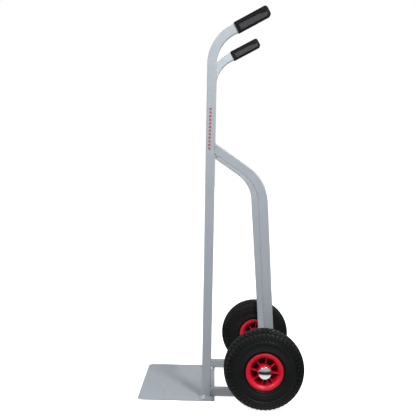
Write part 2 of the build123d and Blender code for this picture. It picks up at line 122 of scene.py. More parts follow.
FLOOR_REACH = 40.0
FLOOR_GLOW = 0.80
FLOOR_TONES = ((0.985, 0.985, 0.985), (1.0, 1.0, 1.0))


def camera():
    """Looks at the left side from 0.74 m up, turned down by three and a half degrees."""
    data = bpy.data.cameras.new("camera")
    data.sensor_width = SENSOR_WIDTH
    data.lens = LENS
    data.clip_end = VIEW_DEPTH
    cam = bpy.data.objects.new("camera", data)
    bpy.context.scene.collection.objects.link(cam)
    right, up = Vector(CAMERA_RIGHT), Vector(CAMERA_UP)
    turn = Matrix((right, up, right.cross(up))).transposed().to_4x4()
    cam.matrix_world = Matrix.Translation(CAMERA_PLACE) @ turn
    bpy.context.scene.camera = cam


def area_light(name, place, aim, size, watts, colour):
    """A soft box that lights the object and isn't seen itself."""
    data = bpy.data.lights.new(name, "AREA")
    data.shape = "RECTANGLE"
    data.size, data.size_y = size
    data.energy = watts
    data.color = colour
    lamp = bpy.data.objects.new(name, data)
    bpy.context.scene.collection.objects.link(lamp)
    direction = Vector(aim) - Vector(place)
    lamp.location = place
    lamp.visible_camera = False
    lamp.rotation_euler = direction.to_track_quat("-Z", "Y").to_euler()


def set_sockets(node, sockets):
    """Sets a node's sockets by name; an underscore stands for a space."""
    for socket, value in sockets.items():
        node.inputs[socket.replace("_", " ")].default_value = value


def new_node(tree, kind, **sockets):
    """A shader node with some of its sockets set."""
    node = tree.nodes.new("ShaderNode" + kind)
    set_sockets(node, sockets)
    return node


def room():
    """White to look at; it lights brightly from below, with a dark band under the horizon."""
    world = bpy.data.worlds.new("studio")
    bpy.context.scene.world = world
    world.use_nodes = True
    tree = world.node_tree
    link = tree.links.new
    direction = new_node(tree, "TexCoord")
    split = new_node(tree, "SeparateXYZ")
    link(direction.outputs["Generated"], split.inputs["Vector"])
    way_up = new_node(tree, "MapRange", From_Min=-1.0)
    link(split.outputs["Z"], way_up.inputs["Value"])
    walls = new_node(tree, "ValToRGB")
    stops = walls.color_ramp.elements
    stops[0].position, stops[0].color = 0.0, (*ROOM_DOWN, 1)
    stops[1].position, stops[1].color = 1.0, (*ROOM_UP, 1)
    for place, shade in ROOM_BANDS:
        stops.new(place).color = (*(shade * tint for tint in ROOM_TINT), 1)
    link(way_up.outputs["Result"], walls.inputs["Fac"])
    light = tree.nodes["Background"]
    light.inputs["Strength"].default_value = 1.0
    link(walls.outputs["Color"], light.inputs["Color"])
    seen = new_node(tree, "Background", Color=(*WHITE, 1))
    ray = new_node(tree, "LightPath")
    either = new_node(tree, "MixShader")
    link(ray.outputs["Is Camera Ray"], either.inputs["Fac"])
    # the two mixed shaders' sockets share a name, so they go by number
    for number, background in ((1, light), (2, seen)):
        link(background.outputs["Background"], either.inputs[number])
    link(either.outputs["Shader"], tree.nodes["World Output"].inputs["Surface"])


def floor_paper():
    """Pale matt paper that glows a little, so the floor stays white."""
    r = Recipe("floor_paper", Roughness=1.0, Specular_IOR_Level=0.0, Emission_Strength=FLOOR_GLOW)
    r.shader.inputs["Emission Color"].default_value = (*WHITE, 1)
    r.colour(r.mix(r.noise(3.0, 3), *FLOOR_TONES))
    return r.material


def floor():
    """A plain pale floor, which the object's reflections and bounced light leave out."""
    data = bpy.data.meshes.new("floor")
    corners = [(x * FLOOR_REACH, y * FLOOR_REACH, 0) for x, y in ((-1, -1), (1, -1), (1, 1), (-1, 1))]
    data.from_pydata(corners, [], [(0, 1, 2, 3)])
    data.materials.append(floor_paper())
    ground = bpy.data.objects.new("floor", data)
    bpy.context.scene.collection.objects.link(ground)
    ground.visible_diffuse = False
    ground.visible_glossy = False
    ground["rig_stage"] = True


def studio():
    """The room, its five soft boxes and the floor."""
    bpy.context.scene.view_settings.view_transform = "Standard"
    room()
    for light in LIGHTS:
        area_light(*light)
    floor()


# ---- material helpers ------------------------------------------------------------
NOISE_SPAN = (0.3, 0.7)             # where nearly all of a noise's values lie
MIX_A, MIX_B, MIX_RESULT = 6, 7, 2  # a Mix node's colour sockets share their names with others


class Recipe:
    """One procedural material, built up a few nodes at a time in object space."""

    def __init__(self, name, **sockets):
        self.material = bpy.data.materials.new(name)
        self.material.use_nodes = True
        self.tree = self.material.node_tree
        self.shader = self.tree.nodes["Principled BSDF"]
        self.place = new_node(self.tree, "TexCoord").outputs["Object"]
        set_sockets(self.shader, sockets)

    def link(self, source, target):
        self.tree.links.new(source, target)

    def stretched(self, scale):
        """Object coordinates scaled by a different amount along each axis."""
        node = new_node(self.tree, "Mapping", Scale=scale)
        self.link(self.place, node.inputs["Vector"])
        return node.outputs["Vector"]

    def noise(self, scale, detail=2.0, roughness=0.5, vector=None, distortion=0.0):
        node = new_node(
            self.tree, "TexNoise",
            Scale=scale, Detail=detail, Roughness=roughness, Distortion=distortion,
        )
        self.link(vector or self.place, node.inputs["Vector"])
        return node.outputs["Fac"]

    def cells(self, scale):
        """The distance to the nearest of many scattered points."""
        node = new_node(self.tree, "TexVoronoi", Scale=scale)
        self.link(self.place, node.inputs["Vector"])
        return node.outputs["Distance"]

    def ramp(self, value, low, high, start, end):
        """Maps value from low..high onto start..end."""
        node = new_node(
            self.tree, "MapRange", From_Min=low, From_Max=high, To_Min=start, To_Max=end
        )
        self.link(value, node.inputs["Value"])
        return node.outputs["Result"]

    def along(self, axis):
        """The point's place along one axis."""
        node = new_node(self.tree, "SeparateXYZ")
        self.link(self.place, node.inputs["Vector"])
        return node.outputs[axis]

    def off_wheel_middle(self):
        """The point's distance from the middle plane of the wheel it is on."""
        outboard = self.arithmetic("ABSOLUTE", self.along("Y"), 0.0)
        return self.arithmetic("ABSOLUTE", self.arithmetic("SUBTRACT", outboard, HALF_TRACK), 0.0)

    def off_axle(self):
        """The point's distance from the axle's line."""
        flat = new_node(self.tree, "Mapping", Location=(-AXLE_X, 0, -AXLE_Z), Scale=(1, 0, 1))
        self.link(self.place, flat.inputs["Vector"])
        length = new_node(self.tree, "VectorMath")
        length.operation = "LENGTH"
        self.link(flat.outputs["Vector"], length.inputs[0])
        return length.outputs["Value"]

    def arithmetic(self, operation, a, b):
        """One sum on two values; each is a number or another node's output."""
        node = new_node(self.tree, "Math")
        node.operation = operation
        for socket, value in zip(node.inputs, (a, b)):
            if isinstance(value, (int, float)):
                socket.default_value = value
            else:
                self.link(value, socket)
        return node.outputs["Value"]

    def mix(self, factor, a, b):
        """A colour between a and b; each is a colour or another node's output."""
        node = new_node(self.tree, "Mix")
        node.data_type = "RGBA"
        self.link(factor, node.inputs["Factor"])
        for socket, value in ((node.inputs[MIX_A], a), (node.inputs[MIX_B], b)):
            if isinstance(value, tuple):
                socket.default_value = (*value, 1)
            else:
                self.link(value, socket)
        return node.outputs[MIX_RESULT]

    def flecks(self, tone, colour, noise, low, high, most):
        """The tone, with up to this share of a colour where a noise goes from low to high."""
        return self.mix(self.ramp(noise, low, high, 0.0, most), tone, colour)

    def colour(self, output):
        self.link(output, self.shader.inputs["Base Color"])

    def rough(self, noise, low, high, span=NOISE_SPAN):
        """Roughness from low to high as a noise crosses its span."""
        self.link(self.ramp(noise, *span, low, high), self.shader.inputs["Roughness"])

    def bump(self, *layers):
        """Stacks (height, distance in metres, strength) layers into the normal."""
        normal = None
        for height, distance, strength in layers:
            node = new_node(self.tree, "Bump", Distance=distance, Strength=strength)
            self.link(height, node.inputs["Height"])
            if normal is not None:
                self.link(normal, node.inputs["Normal"])
            normal = node.outputs["Normal"]
        self.link(normal, self.shader.inputs["Normal"])


# ---- materials: noises are (scale, detail, roughness) ----------------------------
def powder_coat():
    """Satin silver-grey paint: orange peel, faint flake and scuffs, grime near the floor."""
    r = Recipe("powder_coat", Metallic=0.15)
    tone = r.mix(r.noise(7, 3), (0.385, 0.412, 0.446), (0.415, 0.440, 0.472))
    tone = r.flecks(tone, (0.55, 0.57, 0.59), r.noise(2600, 1), 0.50, 0.80, 0.12)
    near_floor = r.ramp(r.along("Z"), 0.0, 0.12, 0.22, 0.0)
    patches = r.ramp(r.noise(55, 6, 0.65), 0.50, 0.78, 0.0, 1.0)
    tone = r.mix(r.arithmetic("MULTIPLY", near_floor, patches), tone, (0.25, 0.25, 0.245))
    scuffs = r.noise(70, 5, 0.7, r.stretched((1.0, 1.0, 0.12)))
    r.colour(r.flecks(tone, (0.50, 0.515, 0.53), scuffs, 0.66, 0.80, 0.22))
    r.rough(r.noise(38, 4, 0.6), 0.34, 0.48)
    r.bump((r.noise(820), 0.00012, 0.35), (r.noise(3.5), 0.004, 0.05))
    return r.material


def tyre_rubber():
    """Carbon-black rubber with a dull bloom and dust in its pores."""
    r = Recipe("tyre_rubber", Specular_IOR_Level=0.22)
    bloom = r.noise(42, 5, 0.62)
    tone = r.mix(bloom, (0.0035, 0.0037, 0.0038), (0.0085, 0.0088, 0.0088))
    r.colour(r.flecks(tone, (0.024, 0.024, 0.022), r.noise(520, 3, 0.6), 0.60, 0.80, 0.35))
    r.rough(r.noise(90, 4, 0.6), 0.38, 0.54)
    r.bump((r.noise(1400, 3, 0.6), 0.00025, 0.5), (r.noise(260, 3), 0.0004, 0.25))
    return r.material


def red_plastic():
    """Crimson moulding with faint flow marks, and painted shade darkening its pockets towards the web
    and the hub.
    """
    r = Recipe("red_plastic", Specular_IOR_Level=0.32)
    flow = r.noise(26, 4, 0.55, distortion=1.2)
    tone = r.mix(flow, (0.660, 0.0060, 0.0260), (0.780, 0.0100, 0.0360))
    tone = r.flecks(tone, (0.40, 0.004, 0.012), r.noise(900), 0.62, 0.80, 0.25)
    # painted shade: the colour darkens to near black towards the web and the hub, for the shade in
    # the pockets
    pocket_shade = r.ramp(r.off_wheel_middle(), 0.003, 0.028, 1.0, 0.0)
    hub_shade = r.ramp(r.off_axle(), 0.030, 0.047, 1.0, 0.30)
    r.colour(r.mix(r.arithmetic("MULTIPLY", pocket_shade, hub_shade), tone, (0.035, 0.0006, 0.0016)))
    r.rough(r.noise(120, 4, 0.6), 0.32, 0.46)
    r.bump((r.noise(1500), 0.00008, 0.35), (r.noise(60, 3), 0.0006, 0.12))
    return r.material


def grip_plastic():
    """Black moulded grip with a fine leather grain."""
    r = Recipe("grip_plastic", Specular_IOR_Level=0.08)
    tone = r.mix(r.noise(80, 4, 0.6), (0.0030, 0.0031, 0.0034), (0.0060, 0.0062, 0.0066))
    r.colour(r.flecks(tone, (0.016, 0.016, 0.017), r.noise(700), 0.60, 0.80, 0.30))
    r.rough(r.noise(200, 3), 0.40, 0.56)
    r.bump((r.cells(1500), 0.00018, 0.6), (r.noise(420), 0.0002, 0.3))
    return r.material


def grip_panel_plastic():
    """The grips' recessed panels: the same moulding, sparked to a lighter grey."""
    r = Recipe("grip_panel_plastic", Specular_IOR_Level=0.22)
    tone = r.mix(r.noise(120, 5, 0.65), (0.024, 0.023, 0.025), (0.044, 0.042, 0.046))
    pits = r.ramp(r.cells(900), 0.0, 0.6, 0.35, 0.0)
    r.colour(r.mix(pits, tone, (0.03, 0.03, 0.032)))
    r.rough(r.noise(300, 3), 0.50, 0.66)
    r.bump((r.cells(1100), 0.00035, 0.8), (r.noise(600, 3), 0.0002, 0.4))
    return r.material


def black_plastic():
    """Plain black moulding of plugs and valve caps."""
    r = Recipe("black_plastic", Specular_IOR_Level=0.4)
    r.colour(r.mix(r.noise(150, 4), (0.010, 0.010, 0.011), (0.022, 0.022, 0.023)))
    r.rough(r.noise(260, 3), 0.40, 0.58)
    r.bump((r.noise(1300, 3), 0.00015, 0.45))
    return r.material


def tube_rubber():
    """Smooth butyl rubber of the inner tubes and valve stems."""
    r = Recipe("tube_rubber", Specular_IOR_Level=0.35)
    r.colour(r.mix(r.noise(65, 4), (0.011, 0.011, 0.012), (0.024, 0.024, 0.024)))
    r.rough(r.noise(130, 3), 0.44, 0.60)
    r.bump((r.noise(900, 3), 0.0002, 0.4))
    return r.material


def chrome():
    """Bright nickel-chrome with a few hairline scratches."""
    r = Recipe("chrome", Metallic=1.0)
    scratches = r.noise(900, 4, 0.7, r.stretched((1.0, 0.2, 0.08)))
    r.colour(r.mix(r.noise(70, 3), (0.70, 0.70, 0.71), (0.79, 0.79, 0.79)))
    r.rough(scratches, 0.07, 0.20, (0.45, 0.80))
    r.bump((scratches, 0.00003, 0.35))
    return r.material


def zinc():
    """Bright zinc plating, slightly uneven."""
    r = Recipe("zinc", Metallic=0.95)
    r.colour(r.mix(r.noise(240, 4, 0.6), (0.84, 0.85, 0.86), (0.93, 0.94, 0.95)))
    r.rough(r.noise(500, 4, 0.6), 0.22, 0.42)
    r.bump((r.noise(1600, 3), 0.0001, 0.4))
    return r.material


def drawn_steel():
    """Plated bar with fine draw lines along the axle."""
    r = Recipe("drawn_steel", Metallic=0.95)
    lines = r.noise(1200, 3, 0.6, r.stretched((1.0, 0.03, 1.0)))
    r.colour(r.mix(r.noise(90, 4), (0.42, 0.42, 0.41), (0.58, 0.58, 0.57)))
    r.rough(lines, 0.24, 0.44)
    r.bump((lines, 0.00006, 0.5))
    return r.material


def nylon():
    """Natural nylon bushes, faintly mottled."""
    r = Recipe("nylon", Subsurface_Weight=0.1)
    r.colour(r.mix(r.noise(220, 4), (0.56, 0.54, 0.49), (0.68, 0.66, 0.61)))
    r.rough(r.noise(300, 3), 0.40, 0.58)
    r.bump((r.noise(1300, 3), 0.00012, 0.4))
    return r.material


def red_ink():
    """Screen-printed red ink, a little uneven in tone."""
    r = Recipe("red_ink")
    r.colour(r.mix(r.noise(900, 4, 0.7), (0.30, 0.006, 0.016), (0.42, 0.014, 0.028)))
    r.rough(r.noise(500, 3), 0.45, 0.60)
    r.bump((r.noise(1500), 0.00008, 0.4))
    return r.material


MATERIALS = {
    "grey_paint": powder_coat(),
    "grip_plastic": grip_plastic(),
    "grip_panel": grip_panel_plastic(),
    "black_plastic": black_plastic(),
    "zinc": zinc(),
    "axle_steel": drawn_steel(),
    "chrome": chrome(),
    "rim_red": red_plastic(),
    "tyre_black": tyre_rubber(),
    "tube_rubber": tube_rubber(),
    "bush_plastic": nylon(),
    "red_ink": red_ink(),
}


# ---- mesh helpers, in millimetres ------------------------------------------------
TINY = 1e-6                         # keeps a division away from zero
LEAST_ROUNDING = 0.02               # a corner eased by less stays sharp
MOST_OF_EDGE = 0.45                 # that one corner's rounding may take up
ROUND_STEPS = 4
LATHE_STEPS = 144
MERGE_METRES = 1e-6
FLAT_ANGLE = math.radians(0.5)      # faces that meet flatter than this are one
EDGE_ANGLE = math.radians(38)       # edges sharper than this are eased
EASE_STEPS = 3
FACE_WEIGHT = 100                   # the largest faces decide the shading
SMALL_STEPS = 3                     # for the corners of small outlines


def weigh_normals(piece):
    """Flat faces keep flat shading beside small roundings."""
    modifier = piece.modifiers.new("even_shading", "WEIGHTED_NORMAL")
    modifier.keep_sharp = True
    modifier.weight = FACE_WEIGHT


def finish_piece(name, mesh, body, slot, replaces=(), materials=(), smooth=35):
    """Links a mesh as a piece that rides on a body, smooth where it turns by fewer degrees."""
    mesh.transform(Matrix.Scale(MM, 4))
    bm = bmesh.new()
    bm.from_mesh(mesh)
    bmesh.ops.recalc_face_normals(bm, faces=bm.faces)
    bm.to_mesh(mesh)
    bm.free()
    piece = bpy.data.objects.new(name, mesh)
    bpy.context.scene.collection.objects.link(piece)
    for material in materials or (slot,):
        mesh.materials.append(MATERIALS[material])
    mesh.shade_smooth()
    mesh.set_sharp_from_angle(angle=math.radians(smooth))
    weigh_normals(piece)
    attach(piece, body)
    if replaces:
        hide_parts(*replaces)
    return piece


def grid(points, close_u=True, close_v=True, caps=False):
    """A mesh from a (u, v, 3) grid of points; caps close the first and last u rows."""
    nu, nv, _ = points.shape
    u = np.arange(nu if close_u else nu - 1)
    v = np.arange(nv if close_v else nv - 1)
    uu, vv = np.meshgrid(u, v, indexing="ij")
    un, vn = (uu + 1) % nu, (vv + 1) % nv
    quads = [uu * nv + vv, un * nv + vv, un * nv + vn, uu * nv + vn]
    faces = np.stack(quads, -1).reshape(-1, 4).tolist()
    if caps:
        faces.append(list(range(nv)))
        faces.append([(nu - 1) * nv + k for k in reversed(range(nv))])
    mesh = bpy.data.meshes.new("grid")
    mesh.from_pydata(points.reshape(-1, 3).tolist(), [], faces)
    return mesh


def bar(rows):
    """A closed shell through a row of like outlines, flat at both ends."""
    return grid(np.array(rows), False, True, True)


def joined(meshes):
    """One mesh made of several closed shells."""
    bm = bmesh.new()
    for mesh in meshes:
        bm.from_mesh(mesh)
    result = bpy.data.meshes.new("joined")
    bm.to_mesh(result)
    bm.free()
    return result


def rounded(corners, steps=ROUND_STEPS):
    """A closed outline of (a, b, radius) corners, each corner turned into an arc."""
    outline = []
    for k, (a, b, radius) in enumerate(corners):
        here = Vector((a, b))
        before = Vector(corners[k - 1][:2]) - here
        after = Vector(corners[(k + 1) % len(corners)][:2]) - here
        half = before.angle(after) / 2
        longest = MOST_OF_EDGE * min(before.length, after.length)
        reach = min(radius / math.tan(half), longest)
        if reach < LEAST_ROUNDING:
            outline.append((a, b))
            continue
        first = here + before.normalized() * reach
        last = here + after.normalized() * reach
        # a rational quadratic curve with this weight is a circle's arc
        for s in range(steps + 1):
            t = s / steps
            weight = 2 * t * (1 - t) * math.sin(half)
            total = (1 - t) ** 2 + weight + t * t
            point = (first * (1 - t) ** 2 + here * weight + last * t * t) / total
            outline.append(tuple(point))
    return outline


def rounded_path(corners, radius):
    """An open line through corners, rounded at all but its two ends."""
    first, *middle, last = corners
    return rounded([(*first, 0), *((a, b, radius) for a, b in middle), (*last, 0)])


def box_outline(half_a, half_b, radius):
    """A rounded rectangle about the origin."""
    corners = [(half_a, half_b), (-half_a, half_b), (-half_a, -half_b), (half_a, -half_b)]
    return rounded([(a, b, radius) for a, b in corners])


def turned(radius, station, angle):
    """Points at a radius from the Y axis and a station along it, for each angle."""
    stations = np.broadcast_to(station, angle.shape)
    return np.stack([radius * np.cos(angle), stations, radius * np.sin(angle)], -1)


def lathe(outline, segments=LATHE_STEPS):
    """Turns a closed (radius, station) outline about the Y axis."""
    angle = np.linspace(0, 2 * math.pi, segments, endpoint=False)
    return grid(np.stack([turned(radius, station, angle) for radius, station in outline], 1))


def softened(node, slot, width):
    """Stands for a CAD node: the same solid with its sharp edges eased."""
    source = frame["nodes"][node]
    bm = bmesh.new()
    bm.from_mesh(source.data)
    bmesh.ops.remove_doubles(bm, verts=bm.verts, dist=MERGE_METRES)
    bmesh.ops.dissolve_limit(bm, angle_limit=FLAT_ANGLE, verts=bm.verts, edges=bm.edges)
    mesh = bpy.data.meshes.new(node)
    bm.to_mesh(mesh)
    bm.free()
    mesh.transform(Matrix.Scale(1 / MM, 4))
    piece = finish_piece(node + "_look", mesh, source["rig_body"], slot, [node], smooth=30)
    bevel = piece.modifiers.new("eased_edges", "BEVEL")
    bevel.width = width * MM
    bevel.segments = EASE_STEPS
    bevel.limit_method = "ANGLE"
    bevel.angle_limit = EDGE_ANGLE
    bevel.use_clamp_overlap = True
    # the edges are eased before the shading is evened
    piece.modifiers.move(1, 0)


# ---- the frame's sizes, in millimetres -------------------------------------------
FRAME_WIDTH = 266.0                 # across the side frames' outer faces, at the floor
SPLAY = math.radians(2.5)           # each side frame leans outwards
TUBE_DEEP, TUBE_WIDE, TUBE_CORNER = 30.0, 15.0, 3.0
RAIL_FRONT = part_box("rail_right")[0].x / MM
RAIL_MIDDLE = RAIL_FRONT + TUBE_DEEP / 2
RAIL_REAR = RAIL_FRONT + TUBE_DEEP
HANDLE_CORNER, HANDLE_RISE = 1171.0, math.radians(28.7)
STRUT_TOP, STRUT_SLOPE = 836.0, math.radians(34.2)
STRUT_LEAN = math.radians(4.17)     # from upright, below its bend
STRUT_AXLE_GAP = 1.7
STAY_BOTTOM, STAY_CHAMFER = 7.4, 14.0
STAY_TOP = STAY_BOTTOM + TUBE_DEEP
FLANGE_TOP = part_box("foot_flange_right")[1].z / MM
AXLE, WHEEL_X, WHEEL_Z = 20.0, AXLE_X / MM, AXLE_Z / MM
WHEEL_Y = HALF_TRACK / MM


def side_place(side):
    """The side frame's own plane, with its outer face at y = 0, put in the object's frame."""
    lean = Matrix.Translation((0, FRAME_WIDTH / 2, 0)) @ Matrix.Rotation(-SPLAY, 4, "X")
    return Matrix.Diagonal((1, SIDES[side], 1, 1)) @ lean


def wheel_place(side):
    """A wheel's own axes, outboard side towards +Y, put in the object's frame."""
    centre = Matrix.Translation((WHEEL_X, WHEEL_Y, WHEEL_Z))
    return Matrix.Diagonal((1, SIDES[side], 1, 1)) @ centre


def strut_line(height):
    """The lower strut's centre line at a height up the side frame."""
    at_axle = WHEEL_X + AXLE / 2 + STRUT_AXLE_GAP + TUBE_DEEP / 2 / math.cos(STRUT_LEAN)
    return at_axle + math.tan(STRUT_LEAN) * (WHEEL_Z - height)


# ---- welds -----------------------------------------------------------------------
BEAD_STEP = 0.75                    # between a bead's rings
FEWEST_RINGS = 6
BEAD_SIDES = 10
WANDER, WANDER_POINTS = 0.18, 9     # share of the radius that the thickness wanders by
RIPPLE, RIPPLE_PITCH = 0.16, 2.3
BEAD_TIP, TIP_GROWTH = 0.25, 0.3    # share of the full radius: first ring, and each one after
OFF_FACE = 0.3                      # a bead's line, from the face it lies on
HEAD_OFF_FACE = 0.4
STAY_OFF_SIDE = 0.2
HEAD_BEAD, FOOT_BEAD, LEVEL_BEAD, UPRIGHT_BEAD = 1.9, 1.7, 1.6, 1.5
BRACKET_WELD_IN = 3.6               # ahead of the strut's rear face
BRACKET_WELD = (2.0, 33.0)          # from and to, above and below the axle
BRACKET_WELD_POINTS = 4
STAY_WELD_SHORT = 2.0               # its upright beads end below its top
WELD_SMOOTH = 80
CROSSBAR_WELD_IN = 2.2              # behind the rail's front face


def bead(points, radius, seed, close=False):
    """A rippled weld bead along a line of points."""
    rng = np.random.default_rng(seed)
    points = [Vector(p) for p in points]
    if close:
        points.append(points[0])
    lengths = [0.0]
    for a, b in zip(points, points[1:]):
        lengths.append(lengths[-1] + (b - a).length)
    whole = lengths[-1]
    count = max(FEWEST_RINGS, int(whole / BEAD_STEP))
    where = np.linspace(0, whole, count, endpoint=not close)
    wanders = rng.uniform(-WANDER, WANDER, WANDER_POINTS)
    wander = np.interp(where, np.linspace(0, whole, WANDER_POINTS), wanders)
    angles = np.linspace(0, 2 * math.pi, BEAD_SIDES, endpoint=False)
    rows = []
    k = 0
    for n, s in enumerate(where):
        while k < len(points) - 2 and s > lengths[k + 1]:
            k += 1
        share = (s - lengths[k]) / max(lengths[k + 1] - lengths[k], TINY)
        centre = points[k].lerp(points[k + 1], share)
        along = (points[k + 1] - points[k]).normalized()
        across = along.orthogonal().normalized()
        other = along.cross(across)
        swell = radius * (1 + RIPPLE * abs(math.sin(math.pi * s / RIPPLE_PITCH)) + wander[n])
        if not close:
            swell *= min(1.0, BEAD_TIP + min(n, count - 1 - n) * TIP_GROWTH)
        ring = [centre + (across * math.cos(a) + other * math.sin(a)) * swell for a in angles]
        rows.append([list(point) for point in ring])
    return grid(np.array(rows), close, True, not close)


def run(start, end):
    """A straight line of three points."""
    return [Vector(start).lerp(Vector(end), share) for share in (0, 0.5, 1)]


def strut_head_weld():
    """Round the strut's head, on the rail's rear face."""
    head = box_outline(TUBE_DEEP / 2 / math.cos(STRUT_SLOPE), TUBE_WIDE / 2, TUBE_CORNER)
    x = RAIL_REAR + HEAD_OFF_FACE
    return bead([(x, b - TUBE_WIDE / 2, STRUT_TOP + a) for a, b in head], HEAD_BEAD, 1, True)


def stay_welds():
    """Up both sides of the stay and over its top, on the rail's rear face."""
    x = RAIL_REAR + OFF_FACE
    low, high = STAY_BOTTOM + STAY_CHAMFER, STAY_TOP - STAY_WELD_SHORT
    sides = [
        bead(run((x, y, low), (x, y, high)), UPRIGHT_BEAD, 2)
        for y in (STAY_OFF_SIDE, -TUBE_WIDE - STAY_OFF_SIDE)
    ]
    inset = TUBE_CORNER / 2
    over = run((x, -inset, STAY_TOP), (x, inset - TUBE_WIDE, STAY_TOP))
    return [*sides, bead(over, LEVEL_BEAD, 3)]


def strut_foot_weld():
    """Round the strut's foot, on the stay."""
    foot = box_outline(TUBE_DEEP / 2 / math.cos(STRUT_LEAN), TUBE_WIDE / 2, TUBE_CORNER)
    x, z = strut_line(STAY_TOP), STAY_TOP + OFF_FACE
    return bead([(x + a, b - TUBE_WIDE / 2, z) for a, b in foot], LEVEL_BEAD, 4, True)


def rail_foot_weld():
    """Round the rail's foot, on its flange, which is level while the rail leans."""
    loop = []
    for a, b in box_outline(TUBE_DEEP / 2, TUBE_WIDE / 2, TUBE_CORNER):
        y = b - TUBE_WIDE / 2
        level = (FLANGE_TOP + OFF_FACE + y * math.sin(SPLAY)) / math.cos(SPLAY)
        loop.append((RAIL_MIDDLE + a, y, level))
    return bead(loop, FOOT_BEAD, 5, True)


def bracket_welds():
    """Down the axle bracket's edge, on the strut's outer face, below and above the axle."""
    reach = TUBE_DEEP / 2 - BRACKET_WELD_IN
    near, far = BRACKET_WELD
    beads = []
    for seed, low, high in ((6, -far, -near), (7, near, far)):
        heights = np.linspace(WHEEL_Z + low, WHEEL_Z + high, BRACKET_WELD_POINTS)
        line = [(strut_line(z) + reach, OFF_FACE, z) for z in heights]
        beads.append(bead(line, UPRIGHT_BEAD, seed))
    return beads


def side_welds():
    """The right side frame's welds, in the side frame's plane."""
    return joined([
        strut_head_weld(), *stay_welds(), strut_foot_weld(), rail_foot_weld(), *bracket_welds(),
    ])


def crossbar_welds(height):
    """Both ends of one crossbar, on the rails' inner faces, in the object's frame."""
    front, rear, high = RAIL_FRONT + CROSSBAR_WELD_IN, RAIL_FRONT + TUBE_WIDE, TUBE_DEEP / 2
    corners = [(front, high), (rear, high), (rear, -high), (front, -high)]
    path = rounded_path(corners, TUBE_CORNER)
    inner = FRAME_WIDTH / 2 - TUBE_WIDE * math.cos(SPLAY)
    beads = []
    for side, seed in ((1, 12), (-1, 10)):
        line = []
        for x, up in path:
            z = height + up
            y = inner + (z - TUBE_WIDE * math.sin(SPLAY)) * math.tan(SPLAY)
            line.append((x, side * (y - OFF_FACE), z))
        beads.append(bead(line, LEVEL_BEAD, seed))
    return joined(beads)


# ---- grips: s runs along the handle from the mouth, a up across it, b sideways ----
GRIP_START, GRIP_LENGTH = 83.4, 115.4
GRIP_TALL, GRIP_WIDE = 18.0, 11.5   # half sizes
GRIP_CORNER, GRIP_END = 3.6, 10.0   # roundings
END_IN_TOP, END_IN_BOTTOM, END_IN_SIDE = 0.98, 0.86, 0.6  # shares of the end's rounding
END_CHANGE = (0, 12)                # from the bottom's share to the top's
GRIP_TOP_STEPS, GRIP_SIDE_STEPS, GRIP_CORNER_STEPS = 20, 44, 5
MOUTH_ROWS, LENGTH_ROWS, END_ROWS = 5, 150, 16
MOUTH_LENGTH = 1.6
ON_FACE = 0.01                      # a point this near a face is on it
MOUTH_EASE, MOUTH_DEEP = 0.9, 1.2
COLLAR_STEP, COLLAR_EDGE = 0.35, (8.6, 9.6)
PANEL_DEEP, PANEL_EDGE = 1.15, 1.4
PANEL_START, PANEL_END = (11.0, 12.6), (106.0, 108.0)
PANEL_LOW, PANEL_HIGH = (-14.2, -13.0), 5.0
PANEL_TAPERS = ((1.5, 11, 78), (4.5, 78, 104))  # drop of its upper edge, from and to
PEBBLE_DEEP, PEBBLE_TURN = 0.16, 2.6
PEBBLE_BANDS, PEBBLE_SHIFT = 0.8, 0.7   # bands per millimetre, and each one's turn
RIBBED_START, RIBBED_END = (10.5, 12.0), (103, 107)
GRIP_RIB_DEEP, GRIP_RIB_PITCH, GRIP_RIB_EDGE = 0.55, 3.1, (9.6, 10.6)
GRIP_RIB_SHARPNESS = 0.6            # below 1, the grooves are wider than the ribs
FINGER_DEEP, FINGER_PITCH, FINGER_EDGE = 0.9, 8.4, (15.2, 16.4)
SOCKET_FIT = 0.15
SOCKET_STATIONS = (109.0, 40.0, 0.8)    # from its floor to the mouth's chamfer
SOCKET_FLARE = (1.05, 1.08)         # of the chamfer, across and sideways


def ease(value, low, high):
    """0 below low, 1 above high, smooth between."""
    t = np.clip((value - low) / (high - low), 0, 1)
    return t * t * (3 - 2 * t)


def between(value, start, end):
    """1 between the (low, high) edges start and end, easing to 0 outside them."""
    return ease(value, *start) * (1 - ease(value, *end))


def wave(place, pitch):
    """0 to 1 and back, once every pitch."""
    return 0.5 + 0.5 * np.cos(place * 2 * math.pi / pitch)


def grip_outline():
    """Round the grip's section, as (a, b, 1 on a side face or else 0) points."""
    flat_a, flat_b = GRIP_TALL - GRIP_CORNER, GRIP_WIDE - GRIP_CORNER
    outline = []
    for on_side, (a0, b0), (a1, b1), count in (
        (0, (GRIP_TALL, -flat_b), (GRIP_TALL, flat_b), GRIP_TOP_STEPS),
        (1, (flat_a, GRIP_WIDE), (-flat_a, GRIP_WIDE), GRIP_SIDE_STEPS),
        (0, (-GRIP_TALL, flat_b), (-GRIP_TALL, -flat_b), GRIP_TOP_STEPS),
        (1, (-flat_a, -GRIP_WIDE), (flat_a, -GRIP_WIDE), GRIP_SIDE_STEPS),
    ):
        for k in range(count + 1):
            t = k / count
            outline.append((a0 + (a1 - a0) * t, b0 + (b1 - b0) * t, on_side))
        centre_a, centre_b = math.copysign(flat_a, a1), math.copysign(flat_b, b1)
        start = math.atan2(b1 - centre_b, a1 - centre_a)
        for k in range(1, GRIP_CORNER_STEPS):
            angle = start + math.pi / 2 * k / GRIP_CORNER_STEPS
            corner_a = centre_a + GRIP_CORNER * math.cos(angle)
            corner_b = centre_b + GRIP_CORNER * math.sin(angle)
            outline.append((corner_a, corner_b, 0))
    return outline


def grip_panel(s, a, on_side):
    """1 on the recessed side panels, which narrow towards the end, and 0 off them."""
    high = PANEL_HIGH
    for drop, start, end in PANEL_TAPERS:
        high = high - drop * ease(s, start, end)
    across = between(a, PANEL_LOW, (high, high + PANEL_EDGE))
    return on_side * between(s, PANEL_START, PANEL_END) * across


